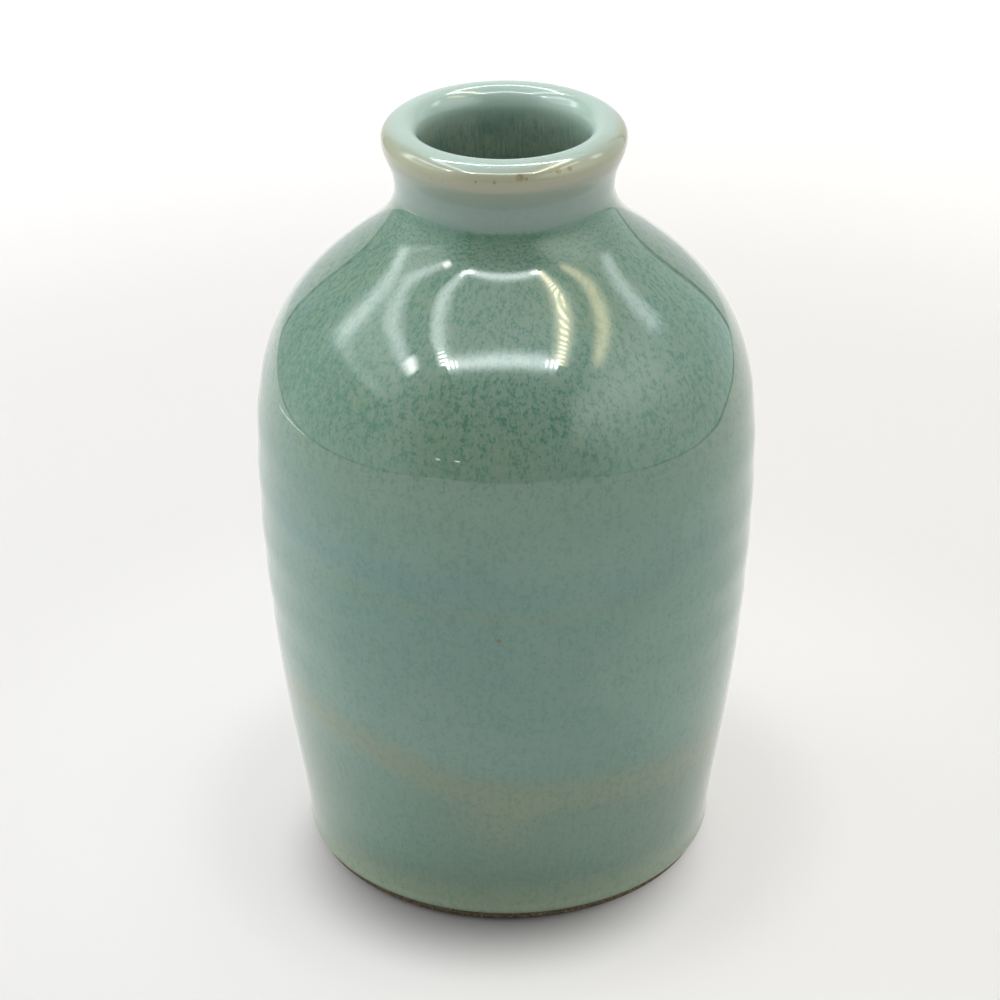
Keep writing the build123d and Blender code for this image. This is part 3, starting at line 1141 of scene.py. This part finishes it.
def lit_walls(studio):
    """The windows in the side walls, the folds along their edges and the lamps that shine in."""
    left, right = -studio.tent_left, studio.tent_right
    cool, warm = (0.90, 0.96, 1.0), (1.0, 0.84, 0.50)
    fold = soft_strip("lit_fold", cool, 6.0)
    gold = soft_strip("warm_fold", warm, 7.0)
    edge = soft_strip("lit_edge", cool, 4.8)
    faint = soft_strip("faint_edge", cool, 4.2)
    window = soft_strip("lit_window", cool, 1.3)
    right_window = soft_strip("right_window", (1.0, 1.0, 0.92), 1.6)
    hem = soft_strip("lit_hem", cool, 1.8)
    spot = soft_strip("lamp_spot", (1.0, 1.0, 1.0), 17.0)
    dot = soft_strip("lamp_dot", (1.0, 1.0, 1.0), 14.0)
    strips = (
        ("window_left", left, (-0.34, 0.39), (0.30, 0.42), 0.32, window),
        ("hem_left", left, (-0.24, 0.30), (0.20, 0.31), 0.10, hem),
        ("fold_left", left, (-0.27, 0.52), (0.20, 0.52), 0.16, fold),
        ("edge_left", left, (0.08, 0.25), (0.22, 0.56), 0.14, edge),
        ("spot_left", left, (-0.26, 0.535), (-0.15, 0.55), 0.16, spot),
        ("window_right", right, (-0.80, 0.42), (0.16, 0.32), 0.62, right_window),
        ("fold_right", right, (-0.27, 0.56), (0.12, 0.62), 0.17, gold),
        ("edge_right", right, (0.08, 0.31), (0.18, 0.54), 0.15, faint),
    )
    for step, (name, wall, start, end, width, finish) in enumerate(strips):
        lift = step * MM if wall < 0 else -step * MM
        facing = (1.0 if wall < 0 else -1.0, 0.0, 0.0)
        mirrored_strip(
            name, (wall + lift, *start), (wall + lift, *end), width, facing, finish
        )
    mirrored_strip(
        "bright_seam", (-0.385, 0.02, 2 * MM), (-0.28, 0.18, 2 * MM), 0.014, (0.0, 0.0, 1.0), fold
    )
    for name, across in (("spot_far", -0.36), ("spot_near", -0.245)):
        mirrored_strip(
            name, (across - 0.02, -0.63, 0.13), (across + 0.02, -0.63, 0.13), 0.012,
            (0.0, 1.0, 0.0), dot,
        )


def tent_light():
    """A pale surround for the camera, a soft one for the light and a dim one for the gloss."""
    world = bpy.data.worlds.new("tent")
    bpy.context.scene.world = world
    world.use_nodes = True
    tree = world.node_tree
    background = tree.nodes["Background"]
    rays = tree.nodes.new("ShaderNodeLightPath")
    soft_or_dim = tree.nodes.new("ShaderNodeMix")
    shown = tree.nodes.new("ShaderNodeMix")
    for mix in (soft_or_dim, shown):
        mix.data_type = "RGBA"
    soft_or_dim.inputs[6].default_value = (0.64, 0.65, 0.65, 1.0)
    soft_or_dim.inputs[7].default_value = (0.20, 0.23, 0.22, 1.0)
    shown.inputs[7].default_value = (0.86, 0.86, 0.86, 1.0)
    tree.links.new(rays.outputs["Is Glossy Ray"], soft_or_dim.inputs[0])
    tree.links.new(soft_or_dim.outputs[2], shown.inputs[6])
    tree.links.new(rays.outputs["Is Camera Ray"], shown.inputs[0])
    tree.links.new(shown.outputs[2], background.inputs["Color"])
    background.inputs["Strength"].default_value = 1.0


class SAKE_OT_set_stage(bpy.types.Operator):
    """Sets out the floor, the lights and the camera"""

    bl_idname = "sake.set_stage"
    bl_label = "Set the stage"

    def execute(self, context):
        studio = context.scene.studio_setup
        set_camera(studio)
        pale_floor(studio)
        tent_cloth(studio)
        tent_light()
        led_frame(studio)
        lit_walls(studio)
        heart = (0.0, 0.0, 0.07)
        lamp("roof_light", (0.7, 0.5), 1.5, (1.0, 1.0, 1.0), (0.0, -0.1, 0.8), heart)
        lamp("left_light", (0.4, 0.4), 2.5, (0.97, 1.0, 1.0), (-0.6, 0.15, 0.3), heart)
        lamp("right_light", (0.4, 0.4), 0.8, (1.0, 0.96, 0.86), (0.6, 0.15, 0.3), heart)
        lamp("back_light", (0.6, 0.4), 2.4, (1.0, 0.98, 0.95), (0.1, 0.6, 0.5), heart)
        context.scene.view_settings.view_transform = "Standard"
        return {"FINISHED"}


class SAKE_PT_panel(bpy.types.Panel):
    """The sake bottle's settings and steps"""

    bl_idname = "SAKE_PT_panel"
    bl_label = "Sake bottle"
    bl_space_type = "VIEW_3D"
    bl_region_type = "UI"
    bl_category = "Sake bottle"

    def draw(self, context):
        layout = self.layout
        for group, _kind in SETTINGS:
            box = layout.box()
            settings = getattr(context.scene, group)
            box.label(text=group.replace("_", " "))
            for key in settings.bl_rna.properties.keys():
                if key not in ("rna_type", "name"):
                    box.prop(settings, key)
        for step in STEPS:
            layout.operator(step.bl_idname)


SETTINGS = (
    ("bottle_shape", BottleShape),
    ("foot_shape", FootShape),
    ("throwing_marks", ThrowingMarks),
    ("glaze_colours", GlazeColours),
    ("clay_colours", ClayColours),
    ("studio_setup", StudioSetup),
)
STEPS = (
    SAKE_OT_set_stage,
    SAKE_OT_throw_body,
    SAKE_OT_coat_outside,
    SAKE_OT_coat_inside,
    SAKE_OT_coat_underside,
)


def register():
    for group, kind in SETTINGS:
        bpy.utils.register_class(kind)
        setattr(bpy.types.Scene, group, bpy.props.PointerProperty(type=kind))
    for kind in (*STEPS, SAKE_PT_panel):
        bpy.utils.register_class(kind)


def unregister():
    for kind in (SAKE_PT_panel, *reversed(STEPS)):
        bpy.utils.unregister_class(kind)
    for group, kind in reversed(SETTINGS):
        delattr(bpy.types.Scene, group)
        bpy.utils.unregister_class(kind)


def main():
    register()
    bpy.ops.sake.set_stage()
    bpy.ops.sake.throw_body()
    bpy.ops.sake.coat_outside()
    bpy.ops.sake.coat_inside()
    bpy.ops.sake.coat_underside()


if __name__ == "__main__":
    main()
